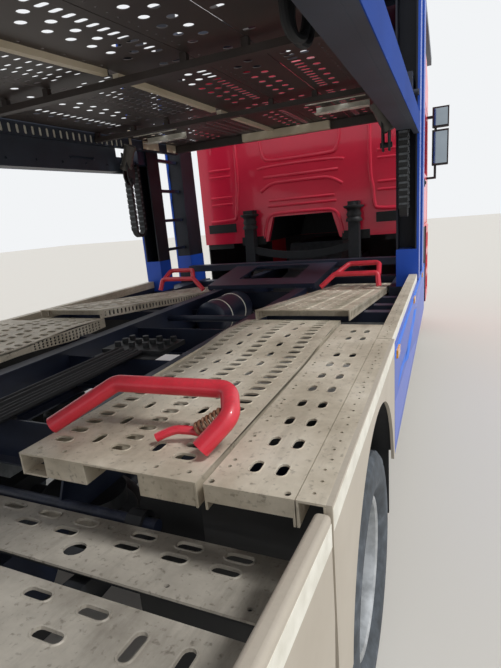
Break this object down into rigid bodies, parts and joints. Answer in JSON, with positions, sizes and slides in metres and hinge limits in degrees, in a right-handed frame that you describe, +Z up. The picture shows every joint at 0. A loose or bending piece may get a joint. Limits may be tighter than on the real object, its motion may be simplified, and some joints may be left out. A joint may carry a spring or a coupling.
{
  "type": "car transporter truck",
  "caption": "Rigid car transporter truck with a lifting and tilting upper deck, a head deck over the cab, a tilting tail deck, steered front wheels and opening doors.",
  "frame": {"origin": "on the ground, midway between the bumper and the tail and midway between the sides", "axes": "+Z up, -Y is the way the truck drives, +X is the truck's left side"},
  "size_m": [2.964, 8.6, 3.76],
  "materials": {
    "chassis_paint": "satin dark blue-grey chassis paint",
    "engine_casting": "rough casting",
    "axle_iron": "black painted forging",
    "black_rubber": "matt",
    "cab_paint": "gloss crimson cab paint",
    "window_glass": "tinted, clear",
    "dark_plastic": "grained moulding",
    "seat_fabric": "woven",
    "lamp_glass": "clear lens",
    "tank_alloy": "mill finish",
    "blue_paint": "gloss blue with lighter stripes",
    "beige_paint": "chalky beige-grey, white marking tape",
    "galvanised_steel": "weathered hot-dip zinc",
    "bright_steel": "ground and greased",
    "tyre_rubber": "dusty tread rubber",
    "wheel_silver": "silver wheel paint",
    "red_paint": "worn red powder coat",
    "red_lens": "moulded lens",
    "amber_lens": "moulded lens"
  },
  "bodies": {
    "chassis": {"chassis_rails": "chassis_paint", "frame_members": "chassis_paint", "frame_outriggers": "chassis_paint", "post_ties": "chassis_paint", "engine_block": "engine_casting", "propshaft": "chassis_paint", "front_axle_beam": "axle_iron", "rear_axle_housing": "axle_iron", "cab_shell": "cab_paint", "cab_rear_wall": "cab_paint", "windscreen": "window_glass", "dashboard": "dark_plastic", "cab_seats": "seat_fabric", "front_grille": "dark_plastic", "front_bumper": "cab_paint", "headlamps": "lamp_glass", "front_wings": "dark_plastic", "cab_mounts": "chassis_paint", "fuel_tank": "tank_alloy", "air_tanks": "chassis_paint", "hose_bundle": "black_rubber", "front_side_panels": "blue_paint", "arch_panels": "beige_paint", "wheel_liners": "dark_plastic", "lower_deck": "galvanised_steel", "cross_frame": "chassis_paint", "lift_posts": "chassis_paint", "rear_posts": "chassis_paint", "underrun_bar": "chassis_paint", "rear_lamps": "red_lens", "tow_coupling": "axle_iron", "wheel_chocks": "red_paint", "marker_lamps": "amber_lens"},
    "knuckle_left": {"knuckle_left": "axle_iron"},
    "knuckle_right": {"knuckle_right": "axle_iron"},
    "tie_rod": {"tie_rod": "axle_iron"},
    "front_wheel_left": {"front_tyre_left": "tyre_rubber", "front_rim_left": "wheel_silver"},
    "front_wheel_right": {"front_tyre_right": "tyre_rubber", "front_rim_right": "wheel_silver"},
    "rear_wheels_left": {"rear_tyres_left": "tyre_rubber", "rear_rims_left": "wheel_silver"},
    "rear_wheels_right": {"rear_tyres_right": "tyre_rubber", "rear_rims_right": "wheel_silver"},
    "door_left": {"door_left": "cab_paint", "door_glass_left": "window_glass", "mirror_left": "dark_plastic"},
    "door_right": {"door_right": "cab_paint", "door_glass_right": "window_glass", "mirror_right": "dark_plastic"},
    "deck_carriage": {"lift_carriages": "chassis_paint", "drag_chains": "dark_plastic"},
    "upper_deck": {"upper_deck_frame": "chassis_paint", "upper_deck_crossings": "chassis_paint", "upper_deck_plates": "galvanised_steel"},
    "rear_rods": {"rear_lift_rods": "bright_steel"},
    "head_deck": {"head_deck": "chassis_paint"},
    "tail_deck": {"tail_deck_frame": "chassis_paint", "tail_side_walls": "beige_paint", "tail_deck_plates": "galvanised_steel"}
  },
  "joints": [
    {"name": "steer_left", "type": "hinge", "parent": "chassis", "child": "knuckle_left", "pos_m": [0.93, -2.9, 0.425], "axis": [0, 0, 1], "range_deg": [-35, 35]},
    {"name": "steer_right", "type": "hinge", "parent": "chassis", "child": "knuckle_right", "pos_m": [-0.93, -2.9, 0.425], "axis": [0, 0, 1], "range_deg": [-35, 35]},
    {"name": "tie_rod_slide", "type": "slide", "parent": "chassis", "child": "tie_rod", "axis": [1, 0, 0], "range_m": [-0.105, 0.105]},
    {"name": "spin_front_left", "type": "hinge", "parent": "knuckle_left", "child": "front_wheel_left", "pos_m": [1.04, -2.9, 0.425], "axis": [1, 0, 0], "continuous": true},
    {"name": "spin_front_right", "type": "hinge", "parent": "knuckle_right", "child": "front_wheel_right", "pos_m": [-1.04, -2.9, 0.425], "axis": [1, 0, 0], "continuous": true},
    {"name": "spin_rear_left", "type": "hinge", "parent": "chassis", "child": "rear_wheels_left", "pos_m": [0.98, 1.61, 0.425], "axis": [1, 0, 0], "continuous": true},
    {"name": "spin_rear_right", "type": "hinge", "parent": "chassis", "child": "rear_wheels_right", "pos_m": [-0.98, 1.61, 0.425], "axis": [1, 0, 0], "continuous": true},
    {"name": "door_left_swing", "type": "hinge", "parent": "chassis", "child": "door_left", "pos_m": [1.231, -4.004, 2], "axis": [0, 0, -1], "range_deg": [0, 70]},
    {"name": "door_right_swing", "type": "hinge", "parent": "chassis", "child": "door_right", "pos_m": [-1.231, -4.004, 2], "axis": [0, 0, 1], "range_deg": [0, 70]},
    {"name": "deck_lift", "type": "slide", "parent": "chassis", "child": "deck_carriage", "axis": [0, 0, 1], "range_m": [0, 0.6]},
    {"name": "deck_tilt", "type": "hinge", "parent": "deck_carriage", "child": "upper_deck", "pos_m": [0, -0.75, 2.43], "axis": [1, 0, 0], "range_deg": [0, 5.5]},
    {"name": "rear_rod_slide", "type": "slide", "parent": "deck_carriage", "child": "rear_rods", "axis": [0, 0, 1], "range_m": [0, 0.48]},
    {"name": "head_deck_tilt", "type": "hinge", "parent": "chassis", "child": "head_deck", "pos_m": [0, -1.57, 3.46], "axis": [-1, 0, 0], "range_deg": [0, 8]},
    {"name": "tail_deck_tilt", "type": "hinge", "parent": "chassis", "child": "tail_deck", "pos_m": [0, 2.105, 0.878], "axis": [1, 0, 0], "range_deg": [-8, 0]}
  ],
  "couplings": [
    {"joint": "steer_right", "follows": "steer_left", "ratio": 1},
    {"joint": "tie_rod_slide", "follows": "steer_left", "m_per_rad": -0.165},
    {"joint": "rear_rod_slide", "follows": "deck_tilt", "m_per_rad": 4.965}
  ]
}
